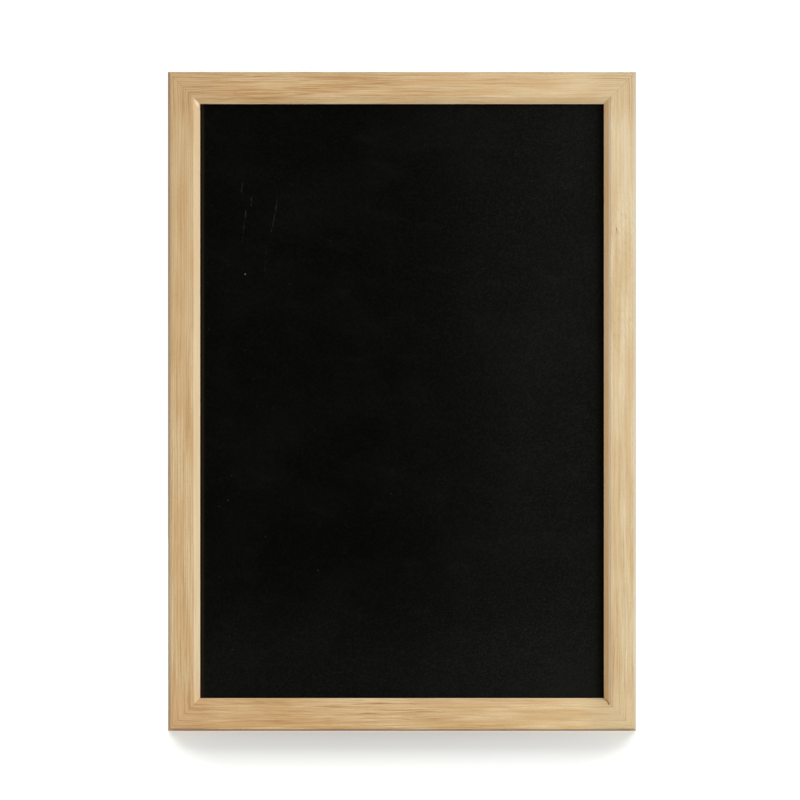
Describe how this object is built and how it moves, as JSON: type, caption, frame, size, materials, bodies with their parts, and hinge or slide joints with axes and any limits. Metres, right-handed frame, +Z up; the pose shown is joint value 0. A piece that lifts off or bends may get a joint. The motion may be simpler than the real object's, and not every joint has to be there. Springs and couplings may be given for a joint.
{
  "type": "chalkboard",
  "caption": "Portrait chalkboard: a matt black writing panel in a mitred pine frame with a bevelled inner edge, with screwed-on ring hangers on its back.",
  "frame": {"origin": "middle of the whole board's footprint, on the surface that its bottom edge stands on", "axes": "+Z up, -Y out of the writing face towards the viewer, +X to the viewer's right"},
  "size_m": [0.3, 0.0188, 0.422],
  "materials": {
    "pine": "planed pale pine under a thin clear coat, grain along each member",
    "chalk_coat": "hardboard with a matt black chalk coat on its face, bare brown hardboard behind",
    "zinc_steel": "zinc-plated sheet and wire, semi-bright",
    "nail_steel": "plain blued-grey spring steel, dull"
  },
  "bodies": {
    "board": {"frame_stile_left": "pine", "frame_stile_right": "pine", "frame_rail_bottom": "pine", "frame_rail_top": "pine", "writing_panel": "chalk_coat", "v_nail_bottom_left_outer": "nail_steel", "v_nail_bottom_left_inner": "nail_steel", "v_nail_bottom_right_outer": "nail_steel", "v_nail_bottom_right_inner": "nail_steel", "v_nail_top_right_outer": "nail_steel", "v_nail_top_right_inner": "nail_steel", "v_nail_top_left_outer": "nail_steel", "v_nail_top_left_inner": "nail_steel", "glazier_point_stile_left_1": "nail_steel", "glazier_point_stile_left_2": "nail_steel", "glazier_point_stile_left_3": "nail_steel", "glazier_point_stile_right_1": "nail_steel", "glazier_point_stile_right_2": "nail_steel", "glazier_point_stile_right_3": "nail_steel", "glazier_point_rail_bottom_1": "nail_steel", "glazier_point_rail_bottom_2": "nail_steel", "glazier_point_rail_top_1": "nail_steel", "glazier_point_rail_top_2": "nail_steel", "hanger_strap_left": "zinc_steel", "hanger_screw_left": "zinc_steel", "hanger_strap_right": "zinc_steel", "hanger_screw_right": "zinc_steel"},
    "left_ring": {"hanger_ring_left": "zinc_steel"},
    "right_ring": {"hanger_ring_right": "zinc_steel"}
  },
  "joints": [
    {"name": "left_ring_swing", "type": "hinge", "parent": "board", "child": "left_ring", "pos_m": [-0.1425, 0.00755, 0.338], "axis": [-1, 0, 0], "range_deg": [0, 178]},
    {"name": "right_ring_swing", "type": "hinge", "parent": "board", "child": "right_ring", "pos_m": [0.1425, 0.00755, 0.338], "axis": [-1, 0, 0], "range_deg": [0, 178]}
  ]
}
